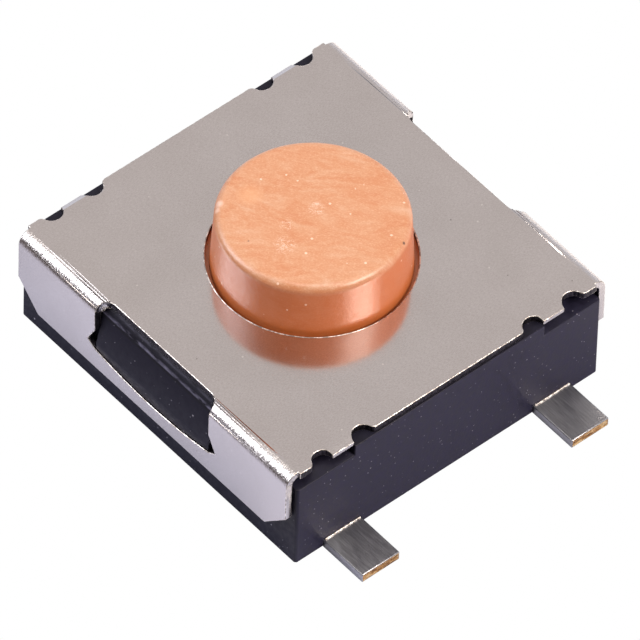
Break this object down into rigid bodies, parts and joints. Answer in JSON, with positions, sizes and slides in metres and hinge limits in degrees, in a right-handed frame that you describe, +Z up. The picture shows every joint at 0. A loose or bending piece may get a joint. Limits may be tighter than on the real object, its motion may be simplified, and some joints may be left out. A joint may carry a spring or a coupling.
{
  "type": "tactile push button switch",
  "caption": "Surface-mount tactile push button: square steel-covered body, round plunger on a snap dome, flat solder terminals on two opposite sides.",
  "frame": {"origin": "centre of the body in the plane of the circuit board that the terminals rest on", "axes": "+Z up through the button, +X along the terminals' length, +Y across the two steel flaps"},
  "size_m": [0.0077, 0.006, 0.0029],
  "materials": {
    "black_moulding": "moulded glass-filled polymer, bluish black, matt with fine pale specks",
    "stainless_cover": "stamped stainless sheet, satin mill finish, grainy bright bends",
    "salmon_moulding": "moulded liquid-crystal polymer, satin, with streaky flow marks",
    "polyimide_film": "amber film, smooth",
    "spring_steel": "silver-clad stainless spring strip",
    "plated_terminals": "silver-plated copper alloy strip, bare golden shear faces at the tips"
  },
  "bodies": {
    "switch_body": {"base": "black_moulding", "cover": "stainless_cover", "insulating_film": "polyimide_film", "snap_dome": "spring_steel", "centre_contact_frame": "plated_terminals", "side_contact_frame": "plated_terminals"},
    "button": {"button": "salmon_moulding"}
  },
  "joints": [
    {"name": "button_press", "type": "slide", "parent": "switch_body", "child": "button", "axis": [0, 0, -1], "range_m": [0, 0.00025], "stiffness_N_per_m": 6400, "springref_m": -0.00002, "deforming": ["snap_dome", "insulating_film"]}
  ]
}
